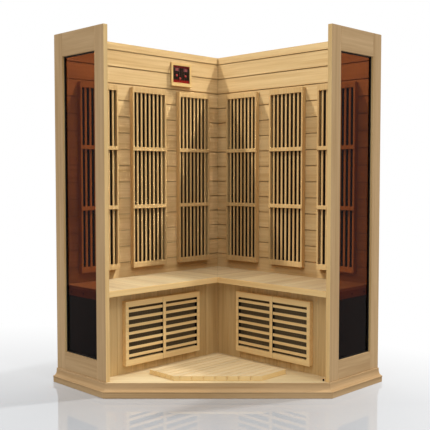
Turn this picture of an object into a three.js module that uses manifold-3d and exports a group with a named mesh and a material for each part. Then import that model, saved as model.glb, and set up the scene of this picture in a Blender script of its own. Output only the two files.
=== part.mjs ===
// Corner infrared sauna cabin, shown without its roof and front wall.
// Two back walls meet at a right angle in the rear corner, a glazed side panel closes each end,
// and an L-shaped bench runs along both back walls. Millimetres, +Z up, front towards -Y.
import * as THREE from 'three';
import { mergeVertices } from 'three/addons/utils/BufferGeometryUtils.js';
import Module from 'manifold-3d';

const wasm = await Module();
wasm.setup();

// Cabin
const WALL_LENGTH = 1257;
const SIDE_LENGTH = 445;
const WALL_TOP = 1900;
const FLOOR_TOP = 74;
const CORE_THICKNESS = 33;
const LINING_THICKNESS = 12;
const SIDE_THICKNESS = 26;
const FIT_GAP = 0.3;

// Boards of the walls, with square grooves at their joints, and of the kick panels, with V grooves
const BOARD_PITCH = 94.4;
const TOP_BOARD_HEIGHT = 44;
const GROOVE_WIDTH = 6;
const GROOVE_DEPTH = 6;
const KICK_GROOVE_WIDTH = 4;
const KICK_GROOVE_DEPTH = 2.5;

// Skirting
const SKIRT_OUT = 30;
const PLINTH_OUT = 27.5;
const PLINTH_HEIGHT = 27;
const NOSE_TOP = 35;
const COVE_OUT = 6;
const COVE_TOP = 62;
const COVE_STEPS = 6;

// Side panels
const REAR_STILE = 76;
const FRONT_STILE = 78;
const WINDOW_BOTTOM = 175;
const WINDOW_TOP = 1775;
const GASKET_WIDTH = 7;
const GASKET_DEPTH = 14;
const GLASS_THICKNESS = 6;
const BLANKING_TOP = 486;
const BLANKING_THICKNESS = 6;

// Back heaters
const HEATERS_PER_WALL = 3;
const HEATER_FIRST_CENTRE = 280;
const HEATER_PITCH = 365;
const HEATER_WIDTH = 258;
const HEATER_BOTTOM = 596;
const HEATER_TOP = 1654;
const HEATER_DEPTH = 30;
const HEATER_STILE = 11;
const HEATER_END_RAIL = 30;
const HEATER_MID_RAIL = 22;
const HEATER_BAYS = 3;
const HEATER_SLATS = 7;
const HEATER_SLAT_WIDTH = 12;
const SLAT_THICKNESS = 5;
const SLAT_SETBACK = 2.5;
const RAIL_PROUD = 2;
const EMITTER_THICKNESS = 11;

// Bench
const BENCH_TOP = 541;
const SEAT_THICKNESS = 14;
const SEAT_FRONT = 444;
const FASCIA_THICKNESS = 18;
const FASCIA_HEIGHT = 30;
const KICK_FRONT = 370;
const KICK_THICKNESS = 15;
const BEARER_WIDTH = 25;
const BEARER_HEIGHT = 40;
const BEARERS = [500, 820];

// Bench heaters
const BENCH_HEATER_CENTRE = 820;
const BENCH_HEATER_WIDTH = 542;
const BENCH_HEATER_BOTTOM = 120;
const BENCH_HEATER_TOP = 467;
const BENCH_HEATER_STILE = 21;
const BENCH_HEATER_RAIL = 31;
const BENCH_HEATER_BAYS = 2;
const BENCH_HEATER_SLATS = 7;
const BENCH_SLAT_WIDTH = 15.6;
const BENCH_SLAT_PITCH = 40.2;

// Duckboard
const DUCK_NEAR = 470;
const DUCK_FAR = 986;
const DUCK_CUT = 1650;
const DUCK_BOARDS = 12;
const DUCK_GAP = 4;
const DUCK_BOARD_THICKNESS = 20;
const DUCK_BATTEN_THICKNESS = 5;
const DUCK_BATTEN_WIDTH = 34;
const DUCK_MIDDLE_BATTEN = 700;

// Control unit on the left back wall
const CONTROL_CENTRE = 372;
const CONTROL_MIDDLE = 1761;
const BEZEL_WIDTH = 167;
const BEZEL_HEIGHT = 143;
const BEZEL_DEPTH = 10;
const FACE_WIDTH = 137;
const FACE_HEIGHT = 104;
const FACE_RAISE = 3;
const FACE_DEPTH = 7.5;
const DISPLAY_SIZE = [38, 21];
const DISPLAY_OFFSET = [35, 28];
const DISPLAY_RECESS = 1.5;
const BUTTON_RADIUS = 7;
const BUTTON_CLEARANCE = 0.6;
const BUTTON_HEIGHT = 5;
const BUTTON_DOME = 1;
const BUTTON_TOP = 0.75;
const BUTTON_PROUD = 2.5;
const BUTTON_WELL = 5.5;
const BUTTON_SIDES = 20;
const BUTTONS = [
  ['heat_button', 38, -8],
  ['timer_button', -35, -8],
  ['power_button', 10, -25],
];

// Draw latches that pull each side panel against its back wall
const LATCH_HEIGHT = 1050;
const LATCH_PLATE = 1.6;
const PIVOT_SETBACK = 22;
const PIVOT_OUT = 9;
const PIVOT_RADIUS = 1.8;
const PIVOT_HOLE = 2.4;
const BAIL_ARM = 12;
const BAIL_HOLE = 2.3;
const BAIL_REACH = 12;
const BAIL_BAR = 2.4;
const BAIL_HALF_WIDTH = 15;
const BASE_TAIL = 40;
const BASE_NOSE = 12;
const LEVER_HALF_WIDTH = 8.8;
const LEVER_RADIUS = 5;
const EAR_THICKNESS = 2;
const EAR_CLEARANCE = 0.5;
const EAR_MARGIN = 1;
const KEEPER_MARGIN = 2;
const KEEPER_HALF_WIDTH = 11.8;
const LUG_HALF_WIDTH = 7.8;
const LUG_LENGTH = 6;
const LUG_LIP = 4;
const LUG_CHAMFER = 2;
const LATCH_SIDES = 12;

// Sizes that follow from the driving dimensions
const INNER_FACE = CORE_THICKNESS + LINING_THICKNESS;
const SIDE_INNER = WALL_LENGTH - SIDE_THICKNESS;
const WALL_BOTTOM = FLOOR_TOP + FIT_GAP;
const BENCH_UNDER = BENCH_TOP - SEAT_THICKNESS;
const HALF_RIGHT_ANGLE = Math.PI / 4;
const FRONT_DISTANCE = (WALL_LENGTH + SIDE_LENGTH) * Math.SQRT1_2;
const FRONT_HALF_WIDTH = (WALL_LENGTH - SIDE_LENGTH) * Math.SQRT1_2;
const REAR_CORNER_Y = (FRONT_DISTANCE + SKIRT_OUT) / 2;
const SKIRT_MITRE = Math.tan(HALF_RIGHT_ANGLE / 2);

const finish = (color, roughness, metalness = 0, extra = {}) =>
  new THREE.MeshStandardMaterial({ color, roughness, metalness, ...extra });
const PANEL_WOOD = finish(0xddb880, 0.55);
const LINING_WOOD = finish(0xe6c48c, 0.55);
const TRIM_WOOD = finish(0xd9ae74, 0.5);
const BRONZE_GLASS = finish(0x6e3a20, 0.08, 0, { transparent: true, opacity: 0.45 });
const BLACK_RUBBER = finish(0x141312, 0.8);
const BLACK_BOARD = finish(0x292827, 0.6);
const EMITTER_BLACK = finish(0x17150f, 0.7);
const FACE_BLACK = finish(0x120c0d, 0.2);
const BUTTON_RED = finish(0xb3242a, 0.35);
const STEEL = finish(0xb4b6b8, 0.35, 0.9);

// Solids: boxes by their ranges, prisms by their outline, and boolean joins and cuts

function block([x0, x1], [y0, y1], [z0, z1]) {
  const geometry = new THREE.BoxGeometry(x1 - x0, y1 - y0, z1 - z0);
  geometry.translate((x0 + x1) / 2, (y0 + y1) / 2, (z0 + z1) / 2);
  return geometry;
}

function shapeOf(outline, holes = []) {
  const points = (list) => list.map(([a, b]) => new THREE.Vector2(a, b));
  const shape = new THREE.Shape(points(outline));
  shape.holes = holes.map((hole) => new THREE.Path(points(hole)));
  return shape;
}

function extrude(shape, depth) {
  return new THREE.ExtrudeGeometry(shape, { depth, bevelEnabled: false });
}

// A plan outline raised from z0 to z1
function prism(outline, [z0, z1], holes = []) {
  return extrude(shapeOf(outline, holes), z1 - z0).translate(0, 0, z0);
}

// An outline in x and z whose front face looks along +y
function facing(outline, front, depth, holes = []) {
  const turn = new THREE.Matrix4().makeBasis(
    new THREE.Vector3(1, 0, 0),
    new THREE.Vector3(0, 0, 1),
    new THREE.Vector3(0, -1, 0),
  );
  return extrude(shapeOf(outline, holes), depth).applyMatrix4(turn).translate(0, front, 0);
}

// A section in y and z drawn out along x
function along(section, [x0, x1]) {
  const turn = new THREE.Matrix4().makeBasis(
    new THREE.Vector3(0, 1, 0),
    new THREE.Vector3(0, 0, 1),
    new THREE.Vector3(1, 0, 0),
  );
  return extrude(shapeOf(section), x1 - x0).applyMatrix4(turn).translate(x0, 0, 0);
}

function rectangle([x0, x1], [y0, y1]) {
  return [[x0, y0], [x1, y0], [x1, y1], [x0, y1]];
}

function circle(x, y, radius, sides) {
  return Array.from({ length: sides }, (_, i) => {
    const angle = (2 * Math.PI * i) / sides;
    return [x + radius * Math.cos(angle), y + radius * Math.sin(angle)];
  });
}

function arc(x, y, radius, from, to, steps) {
  return Array.from({ length: steps + 1 }, (_, i) => {
    const angle = from + ((to - from) * i) / steps;
    return [x + radius * Math.cos(angle), y + radius * Math.sin(angle)];
  });
}

function solid(geometry) {
  const bare = geometry.clone();
  bare.deleteAttribute('normal');
  bare.deleteAttribute('uv');
  const merged = mergeVertices(bare);
  return new wasm.Manifold(new wasm.Mesh({
    numProp: 3,
    vertProperties: new Float32Array(merged.attributes.position.array),
    triVerts: new Uint32Array(merged.index.array),
  }));
}

function surface(body) {
  const { vertProperties, triVerts } = body.getMesh();
  const geometry = new THREE.BufferGeometry();
  geometry.setAttribute('position', new THREE.BufferAttribute(new Float32Array(vertProperties), 3));
  geometry.setIndex(new THREE.BufferAttribute(new Uint32Array(triVerts), 1));
  geometry.computeVertexNormals();
  return geometry;
}

const joined = (list) => surface(list.map(solid).reduce((body, next) => body.add(next)));
const cut = (from, tools) => surface(tools.map(solid).reduce((body, next) => body.subtract(next), solid(from)));
const common = (a, b) => surface(solid(a).intersect(solid(b)));

function piece(group, name, geometry, material) {
  const mesh = new THREE.Mesh(geometry, material);
  mesh.name = name;
  group.add(mesh);
}

// Each half of the cabin has its own frame: x runs along its back wall from the rear corner,
// y runs inwards from the outer face of that wall, and z is up.

function grooveHeights() {
  const heights = [];
  for (let z = WALL_TOP - TOP_BOARD_HEIGHT; z > WALL_BOTTOM + BOARD_PITCH / 2; z -= BOARD_PITCH) {
    heights.push(z);
  }
  return heights;
}

// A wall skin between two depths, with a square groove at each board joint on its board face
function boardSection(plainFace, boardFace) {
  const grooveFace = boardFace + Math.sign(plainFace - boardFace) * GROOVE_DEPTH;
  const grooves = grooveHeights().flatMap((z) => [
    [boardFace, z + GROOVE_WIDTH / 2],
    [grooveFace, z + GROOVE_WIDTH / 2],
    [grooveFace, z - GROOVE_WIDTH / 2],
    [boardFace, z - GROOVE_WIDTH / 2],
  ]);
  return [
    [plainFace, WALL_BOTTOM],
    [plainFace, WALL_TOP],
    [boardFace, WALL_TOP],
    ...grooves,
    [boardFace, WALL_BOTTOM],
  ];
}

// The plan of a wall skin, mitred where the two walls meet
function mitredPlan(outer, inner, end) {
  return [[outer + FIT_GAP, outer], [end, outer], [end, inner], [inner + FIT_GAP, inner]];
}

function wallSkin(plainFace, boardFace) {
  const outer = Math.min(plainFace, boardFace);
  const inner = Math.max(plainFace, boardFace);
  const end = SIDE_INNER - FIT_GAP;
  const boards = along(boardSection(plainFace, boardFace), [0, end]);
  const plan = prism(mitredPlan(outer, inner, end), [0, WALL_TOP + FLOOR_TOP]);
  return common(boards, plan);
}

function backWall(group, side) {
  piece(group, `${side}_wall_core`, wallSkin(CORE_THICKNESS - FIT_GAP, 0), PANEL_WOOD);
  piece(group, `${side}_wall_lining`, wallSkin(CORE_THICKNESS, INNER_FACE), LINING_WOOD);
}

function sidePanel(group, side) {
  const thickness = [SIDE_INNER, WALL_LENGTH];
  const windowStart = REAR_STILE;
  const windowEnd = SIDE_LENGTH - FRONT_STILE;
  const railSpan = [windowStart + FIT_GAP, windowEnd - FIT_GAP];
  const fullHeight = [WALL_BOTTOM, WALL_TOP];
  piece(group, `${side}_rear_stile`, block(thickness, [0, REAR_STILE], fullHeight), PANEL_WOOD);
  piece(group, `${side}_front_stile`, block(thickness, [windowEnd, SIDE_LENGTH], fullHeight), PANEL_WOOD);
  piece(group, `${side}_top_rail`, block(thickness, railSpan, [WINDOW_TOP, WALL_TOP]), PANEL_WOOD);
  piece(group, `${side}_bottom_rail`, block(thickness, railSpan, [WALL_BOTTOM, WINDOW_BOTTOM]), PANEL_WOOD);

  const inset = (by) => [
    [windowStart + by, windowEnd - by],
    [WINDOW_BOTTOM + by, WINDOW_TOP - by],
  ];
  const [gasketSpan, gasketHeight] = inset(FIT_GAP);
  const [openSpan, openHeight] = inset(GASKET_WIDTH);
  const [glassSpan, glassHeight] = inset(GASKET_WIDTH + FIT_GAP);
  const gasketDepth = [SIDE_INNER, SIDE_INNER + GASKET_DEPTH];
  const through = [SIDE_INNER - GASKET_DEPTH, WALL_LENGTH];
  const gasket = cut(block(gasketDepth, gasketSpan, gasketHeight), [block(through, openSpan, openHeight)]);
  const glassStart = SIDE_INNER + (GASKET_DEPTH - GLASS_THICKNESS) / 2;
  const glass = block([glassStart, glassStart + GLASS_THICKNESS], glassSpan, glassHeight);
  piece(group, `${side}_window_gasket`, gasket, BLACK_RUBBER);
  piece(group, `${side}_window_glass`, glass, BRONZE_GLASS);

  const blankingEnd = SIDE_INNER - FIT_GAP;
  const blanking = block(
    [blankingEnd - BLANKING_THICKNESS, blankingEnd],
    [INNER_FACE + FIT_GAP, KICK_FRONT - KICK_THICKNESS - FIT_GAP],
    [WALL_BOTTOM, BLANKING_TOP],
  );
  piece(group, `${side}_blanking_panel`, blanking, BLACK_BOARD);
}

// An upright heater guard: a deep frame, rails that stand proud of it and slats set back behind it
function heaterGrille(centre, back) {
  const front = back + HEATER_DEPTH;
  const left = centre - HEATER_WIDTH / 2;
  const right = centre + HEATER_WIDTH / 2;
  const insideX = [left + HEATER_STILE, right - HEATER_STILE];
  const insideZ = [HEATER_BOTTOM + HEATER_END_RAIL, HEATER_TOP - HEATER_END_RAIL];
  const outline = rectangle([left, right], [HEATER_BOTTOM, HEATER_TOP]);
  const parts = [facing(outline, front, HEATER_DEPTH, [rectangle(insideX, insideZ)])];

  const bay = (insideZ[1] - insideZ[0] - (HEATER_BAYS - 1) * HEATER_MID_RAIL) / HEATER_BAYS;
  const railBack = front - SLAT_SETBACK - SLAT_THICKNESS;
  for (let i = 1; i < HEATER_BAYS; i += 1) {
    const bottom = insideZ[0] + i * bay + (i - 1) * HEATER_MID_RAIL;
    parts.push(block([left, right], [railBack, front + RAIL_PROUD], [bottom, bottom + HEATER_MID_RAIL]));
  }

  const clear = insideX[1] - insideX[0];
  const gap = (clear - HEATER_SLATS * HEATER_SLAT_WIDTH) / (HEATER_SLATS + 1);
  const slatHeight = [insideZ[0] - HEATER_END_RAIL / 2, insideZ[1] + HEATER_END_RAIL / 2];
  for (let i = 0; i < HEATER_SLATS; i += 1) {
    const start = insideX[0] + gap + i * (HEATER_SLAT_WIDTH + gap);
    parts.push(block([start, start + HEATER_SLAT_WIDTH], [railBack, front - SLAT_SETBACK], slatHeight));
  }
  return joined(parts);
}

function heaterEmitter(centre, back) {
  const halfWidth = HEATER_WIDTH / 2 - HEATER_STILE - FIT_GAP;
  return block(
    [centre - halfWidth, centre + halfWidth],
    [back, back + EMITTER_THICKNESS],
    [HEATER_BOTTOM + HEATER_END_RAIL + FIT_GAP, HEATER_TOP - HEATER_END_RAIL - FIT_GAP],
  );
}

function backHeaters(group, side) {
  const back = INNER_FACE + FIT_GAP;
  for (let i = 0; i < HEATERS_PER_WALL; i += 1) {
    const centre = HEATER_FIRST_CENTRE + i * HEATER_PITCH;
    const name = `${side}_heater_${i + 1}`;
    piece(group, `${name}_grille`, heaterGrille(centre, back), TRIM_WOOD);
    piece(group, `${name}_emitter`, heaterEmitter(centre, back), EMITTER_BLACK);
  }
}

// A low heater guard under the bench: two bays of level slats beside a middle stile that stands proud
function benchHeaterGrille(back) {
  const front = back + HEATER_DEPTH;
  const left = BENCH_HEATER_CENTRE - BENCH_HEATER_WIDTH / 2;
  const right = BENCH_HEATER_CENTRE + BENCH_HEATER_WIDTH / 2;
  const insideX = [left + BENCH_HEATER_STILE, right - BENCH_HEATER_STILE];
  const insideZ = [BENCH_HEATER_BOTTOM + BENCH_HEATER_RAIL, BENCH_HEATER_TOP - BENCH_HEATER_RAIL];
  const outline = rectangle([left, right], [BENCH_HEATER_BOTTOM, BENCH_HEATER_TOP]);
  const parts = [facing(outline, front, HEATER_DEPTH, [rectangle(insideX, insideZ)])];

  const slatBack = front - SLAT_SETBACK - SLAT_THICKNESS;
  const bayWidth = (insideX[1] - insideX[0] + BENCH_HEATER_STILE) / BENCH_HEATER_BAYS;
  for (let i = 1; i < BENCH_HEATER_BAYS; i += 1) {
    const start = insideX[0] + i * bayWidth - BENCH_HEATER_STILE;
    const height = [BENCH_HEATER_BOTTOM, BENCH_HEATER_TOP];
    parts.push(block([start, start + BENCH_HEATER_STILE], [slatBack, front + RAIL_PROUD], height));
  }

  const middle = (insideZ[0] + insideZ[1]) / 2;
  const span = [insideX[0] - BENCH_HEATER_STILE / 2, insideX[1] + BENCH_HEATER_STILE / 2];
  for (let i = 0; i < BENCH_HEATER_SLATS; i += 1) {
    const centre = middle + (i - (BENCH_HEATER_SLATS - 1) / 2) * BENCH_SLAT_PITCH;
    const height = [centre - BENCH_SLAT_WIDTH / 2, centre + BENCH_SLAT_WIDTH / 2];
    parts.push(block(span, [slatBack, front - SLAT_SETBACK], height));
  }
  return joined(parts);
}

function benchHeater(group, side) {
  const back = KICK_FRONT + FIT_GAP;
  const halfWidth = BENCH_HEATER_WIDTH / 2 - BENCH_HEATER_STILE - FIT_GAP;
  const emitter = block(
    [BENCH_HEATER_CENTRE - halfWidth, BENCH_HEATER_CENTRE + halfWidth],
    [back, back + EMITTER_THICKNESS],
    [BENCH_HEATER_BOTTOM + BENCH_HEATER_RAIL + FIT_GAP, BENCH_HEATER_TOP - BENCH_HEATER_RAIL - FIT_GAP],
  );
  piece(group, `${side}_bench_heater_grille`, benchHeaterGrille(back), TRIM_WOOD);
  piece(group, `${side}_bench_heater_emitter`, emitter, EMITTER_BLACK);
}

// The kick panel's front is made of upright boards, so its plan has a notch at each board joint
function kickPlan(end) {
  const back = KICK_FRONT - KICK_THICKNESS;
  const notches = [];
  for (let x = KICK_FRONT + BOARD_PITCH; x < end - BOARD_PITCH / 2; x += BOARD_PITCH) {
    notches.push([x - KICK_GROOVE_WIDTH / 2, KICK_FRONT]);
    notches.push([x, KICK_FRONT - KICK_GROOVE_DEPTH]);
    notches.push([x + KICK_GROOVE_WIDTH / 2, KICK_FRONT]);
  }
  return [
    [back + FIT_GAP, back],
    [end, back],
    [end, KICK_FRONT],
    ...notches.reverse(),
    [KICK_FRONT + FIT_GAP, KICK_FRONT],
  ];
}

// The frame under the seat: a rail on the wall, a rail behind the kick panel and bearers between them
function benchFrame(wall, end, top) {
  const front = KICK_FRONT - KICK_THICKNESS - FIT_GAP;
  const height = [top - BEARER_HEIGHT, top];
  const bearer = (start) => block([start, start + BEARER_WIDTH], [wall, front], height);
  return joined([
    prism(mitredPlan(wall, wall + BEARER_WIDTH, end), height),
    prism(mitredPlan(front - BEARER_WIDTH, front, end), height),
    ...BEARERS.map(bearer),
    bearer(end - BEARER_WIDTH),
  ]);
}

function bench(group, side) {
  const wall = INNER_FACE + FIT_GAP;
  const end = SIDE_INNER - FIT_GAP;
  const under = BENCH_UNDER - FIT_GAP;
  const fasciaBack = SEAT_FRONT - FASCIA_THICKNESS;
  const seat = prism(mitredPlan(wall, fasciaBack - FIT_GAP, end), [BENCH_UNDER, BENCH_TOP]);
  const fascia = prism(mitredPlan(fasciaBack, SEAT_FRONT, end), [BENCH_TOP - FASCIA_HEIGHT, BENCH_TOP]);
  const kick = prism(kickPlan(end), [WALL_BOTTOM, under]);
  piece(group, `${side}_bench_seat`, seat, LINING_WOOD);
  piece(group, `${side}_bench_fascia`, fascia, TRIM_WOOD);
  piece(group, `${side}_bench_kick_panel`, kick, LINING_WOOD);
  piece(group, `${side}_bench_frame`, benchFrame(wall, end, under), PANEL_WOOD);
}

// Skirting: a plinth, a rounded nose and a cove that sweeps up to the wall.
// Points are [distance out from the base, height].
function skirtSection() {
  const noseRadius = (NOSE_TOP - PLINTH_HEIGHT) / 2;
  const noseCentre = PLINTH_HEIGHT + noseRadius;
  const nose = arc(SKIRT_OUT - noseRadius, noseCentre, noseRadius, -Math.PI / 2, Math.PI / 2, 4);
  const coveStart = SKIRT_OUT - noseRadius;
  const cove = Array.from({ length: COVE_STEPS }, (_, i) => {
    const angle = ((i + 1) / COVE_STEPS) * (Math.PI / 2);
    return [
      coveStart - (coveStart - COVE_OUT) * Math.sin(angle),
      COVE_TOP - (COVE_TOP - NOSE_TOP) * Math.cos(angle),
    ];
  });
  return [
    [FIT_GAP, 0],
    [PLINTH_OUT, 0],
    [PLINTH_OUT, PLINTH_HEIGHT],
    ...nose,
    ...cove,
    [COVE_OUT, FLOOR_TOP],
    [FIT_GAP, FLOOR_TOP],
  ];
}

// A length of skirting in its own frame, x outwards, y up and z along it. Each end's mitre is the
// distance that the end runs on for each millimetre outwards.
function skirtLength(length, startMitre, endMitre) {
  const geometry = extrude(shapeOf(skirtSection()), 1);
  const { position } = geometry.attributes;
  for (let i = 0; i < position.count; i += 1) {
    const out = position.getX(i);
    const atEnd = position.getZ(i) > 0.5;
    position.setZ(i, atEnd ? length + out * endMitre : -out * startMitre);
  }
  return geometry;
}

function sideSkirting(group, side) {
  const turn = new THREE.Matrix4().makeBasis(
    new THREE.Vector3(1, 0, 0),
    new THREE.Vector3(0, 0, 1),
    new THREE.Vector3(0, -1, 0),
  );
  const length = skirtLength(SIDE_LENGTH - FIT_GAP, SKIRT_MITRE, 0);
  const placed = length.applyMatrix4(turn).translate(WALL_LENGTH, SIDE_LENGTH - FIT_GAP, 0);
  piece(group, `skirting_${side}`, placed, PANEL_WOOD);
}

function frontSkirting(group) {
  const turn = new THREE.Matrix4().makeBasis(
    new THREE.Vector3(0, -1, 0),
    new THREE.Vector3(0, 0, 1),
    new THREE.Vector3(-1, 0, 0),
  );
  const length = skirtLength(2 * FRONT_HALF_WIDTH, SKIRT_MITRE, SKIRT_MITRE);
  const placed = length.applyMatrix4(turn).translate(FRONT_HALF_WIDTH, REAR_CORNER_Y - FRONT_DISTANCE, 0);
  piece(group, 'skirting_front', placed, PANEL_WOOD);
}

function floorPlatform(group) {
  const outline = [
    [0, 0],
    [WALL_LENGTH, 0],
    [WALL_LENGTH, SIDE_LENGTH],
    [SIDE_LENGTH, WALL_LENGTH],
    [0, WALL_LENGTH],
  ];
  piece(group, 'floor_platform', prism(outline, [0, FLOOR_TOP]), PANEL_WOOD);
}

// The duckboard's outline, drawn in from its edges: a square cut off parallel to the cabin's front
function duckOutline(inset) {
  const near = DUCK_NEAR + inset;
  const far = DUCK_FAR - inset;
  const cutEnd = DUCK_CUT - inset * Math.SQRT2 - far;
  return [[near, near], [far, near], [far, cutEnd], [cutEnd, far], [near, far]];
}

// A lift-out duckboard: boards on a frame of thin battens
function duckboard(group) {
  const bottom = FLOOR_TOP + FIT_GAP;
  const boardBottom = bottom + DUCK_BATTEN_THICKNESS;
  const top = boardBottom + DUCK_BOARD_THICKNESS;
  const overlap = 1;
  const battenHeight = [bottom, boardBottom + overlap];
  const middle = [DUCK_MIDDLE_BATTEN, DUCK_MIDDLE_BATTEN + DUCK_BATTEN_WIDTH];
  const parts = [
    prism(duckOutline(0), battenHeight, [duckOutline(DUCK_BATTEN_WIDTH)]),
    block(middle, [DUCK_NEAR, DUCK_FAR], battenHeight),
  ];
  const pitch = (DUCK_FAR - DUCK_NEAR + DUCK_GAP) / DUCK_BOARDS;
  for (let i = 0; i < DUCK_BOARDS; i += 1) {
    const start = DUCK_NEAR + i * pitch;
    parts.push(block([DUCK_NEAR, DUCK_FAR], [start, start + pitch - DUCK_GAP], [boardBottom, top]));
  }
  piece(group, 'duckboard', common(joined(parts), prism(duckOutline(0), [bottom, top])), TRIM_WOOD);
}

// Wooden bezel, dark faceplate with two display recesses, and sprung buttons in blind wells
function controlUnit(group) {
  const back = INNER_FACE + FIT_GAP;
  const span = (centre, size) => [centre - size / 2, centre + size / 2];
  const faceMiddle = CONTROL_MIDDLE + FACE_RAISE;
  const opening = rectangle(
    span(CONTROL_CENTRE, FACE_WIDTH + 2 * FIT_GAP),
    span(faceMiddle, FACE_HEIGHT + 2 * FIT_GAP),
  );
  const outline = rectangle(span(CONTROL_CENTRE, BEZEL_WIDTH), span(CONTROL_MIDDLE, BEZEL_HEIGHT));
  const bezel = facing(outline, back + BEZEL_DEPTH, BEZEL_DEPTH, [opening]);
  piece(group, 'control_bezel', bezel, TRIM_WOOD);

  const front = back + FACE_DEPTH;
  const plate = rectangle(span(CONTROL_CENTRE, FACE_WIDTH), span(faceMiddle, FACE_HEIGHT));
  const clearOfFace = 1;
  const recesses = [-1, 1].map((hand) => facing(
    rectangle(
      span(CONTROL_CENTRE + hand * DISPLAY_OFFSET[0], DISPLAY_SIZE[0]),
      span(faceMiddle + DISPLAY_OFFSET[1], DISPLAY_SIZE[1]),
    ),
    front + clearOfFace,
    DISPLAY_RECESS + clearOfFace,
  ));
  const wells = BUTTONS.map(([, x, z]) => facing(
    circle(CONTROL_CENTRE + x, faceMiddle + z, BUTTON_RADIUS + BUTTON_CLEARANCE, BUTTON_SIDES),
    front + clearOfFace,
    BUTTON_WELL + clearOfFace,
  ));
  const faceplate = cut(facing(plate, front, FACE_DEPTH), [...recesses, ...wells]);
  piece(group, 'control_faceplate', faceplate, FACE_BLACK);

  const profile = [
    [0, 0],
    [BUTTON_RADIUS, 0],
    [BUTTON_RADIUS, BUTTON_HEIGHT - BUTTON_DOME],
    [BUTTON_TOP * BUTTON_RADIUS, BUTTON_HEIGHT],
    [0, BUTTON_HEIGHT],
  ];
  const turned = profile.map(([r, h]) => new THREE.Vector2(r, h));
  const base = front + BUTTON_PROUD - BUTTON_HEIGHT;
  BUTTONS.forEach(([name, x, z]) => {
    const cap = new THREE.LatheGeometry(turned, BUTTON_SIDES);
    piece(group, name, cap.translate(CONTROL_CENTRE + x, base, faceMiddle + z), BUTTON_RED);
  });
}

// A draw latch on the outer face of the wall: a base with two ears and a pin, a lever, a bail that
// the lever carries, and a keeper on the edge of the side panel. Outwards is -y.
function drawLatch(group, side) {
  const seat = -FIT_GAP;
  const plateFace = seat - LATCH_PLATE;
  const pivot = [SIDE_INNER - PIVOT_SETBACK, -PIVOT_OUT];
  const upright = (half) => [LATCH_HEIGHT - half, LATCH_HEIGHT + half];
  const fuse = 0.5;

  const earInner = LEVER_HALF_WIDTH + EAR_CLEARANCE;
  const earOuter = earInner + EAR_THICKNESS;
  const earReach = LEVER_RADIUS + EAR_MARGIN;
  const plateSpan = [pivot[0] - BASE_TAIL, pivot[0] + BASE_NOSE];
  const plate = block(plateSpan, [plateFace, seat], upright(BAIL_HALF_WIDTH));
  const ears = [[-earOuter, -earInner], [earInner, earOuter]].map(([low, high]) => block(
    [pivot[0] - earReach, pivot[0] + earReach],
    [pivot[1] - earReach, plateFace + fuse],
    [LATCH_HEIGHT + low, LATCH_HEIGHT + high],
  ));
  const pin = prism(circle(...pivot, PIVOT_RADIUS, LATCH_SIDES), upright(earInner + fuse));
  piece(group, `${side}_latch_base`, joined([plate, ...ears, pin]), STEEL);

  const leverOutline = [
    ...arc(0, 0, LEVER_RADIUS, Math.PI / 2, -Math.PI / 2, LATCH_SIDES / 2),
    [-47, -5],
    [-53, -8.5],
    [-54.5, -6],
    [-48, -2],
    [-19, -2],
    [-17, 0],
    [-17, 5],
  ].map(([x, y]) => [pivot[0] + x, pivot[1] + y]).reverse();
  const leverHoles = [
    circle(...pivot, PIVOT_HOLE, LATCH_SIDES),
    circle(pivot[0] - BAIL_ARM, pivot[1], BAIL_HOLE, LATCH_SIDES),
  ];
  piece(group, `${side}_latch_lever`, prism(leverOutline, upright(LEVER_HALF_WIDTH), leverHoles), STEEL);

  const bailStart = pivot[0] - BAIL_ARM;
  const bailEnd = SIDE_INNER + BAIL_REACH;
  const halfBar = BAIL_BAR / 2;
  const bail = facing(
    rectangle([bailStart - halfBar, bailEnd + halfBar], upright(BAIL_HALF_WIDTH)),
    pivot[1] + halfBar,
    BAIL_BAR,
    [rectangle([bailStart + halfBar, bailEnd - halfBar], upright(BAIL_HALF_WIDTH - BAIL_BAR))],
  );
  piece(group, `${side}_latch_bail`, bail, STEEL);

  const lugEnd = bailEnd - halfBar - 2 * FIT_GAP;
  const lugStart = lugEnd - LUG_LENGTH;
  const lugTip = pivot[1] - LUG_LIP;
  const keeperSpan = [SIDE_INNER + KEEPER_MARGIN, WALL_LENGTH - KEEPER_MARGIN];
  const keeperPlate = block(keeperSpan, [plateFace, seat], upright(KEEPER_HALF_WIDTH));
  const lug = prism(
    [
      [lugEnd, plateFace + fuse],
      [lugEnd, lugTip],
      [lugStart + LUG_CHAMFER, lugTip],
      [lugStart, lugTip + LUG_CHAMFER],
      [lugStart, plateFace + fuse],
    ],
    upright(LUG_HALF_WIDTH),
  );
  piece(group, `${side}_latch_keeper`, joined([keeperPlate, lug]), STEEL);
}

function half(side) {
  const group = new THREE.Group();
  backWall(group, side);
  sidePanel(group, side);
  backHeaters(group, side);
  bench(group, side);
  benchHeater(group, side);
  sideSkirting(group, side);
  drawLatch(group, side);
  group.rotation.z = -3 * HALF_RIGHT_ANGLE;
  group.position.y = REAR_CORNER_Y;
  return group;
}

const sauna = new THREE.Group();
const left = half('left');
floorPlatform(left);
duckboard(left);
controlUnit(left);
const mirror = new THREE.Group();
mirror.add(half('right'));
mirror.scale.x = -1;
sauna.add(left, mirror);
frontSkirting(sauna);

export default sauna;
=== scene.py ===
"""Looks of a corner infrared sauna cabin, shown without its roof and front wall.

Metres, +Z up, front towards -Y. Each half of the cabin has its own directions: u runs along its back
wall from the rear corner, v runs inwards from the outer face of that wall, and z is up.
"""
import math

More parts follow.
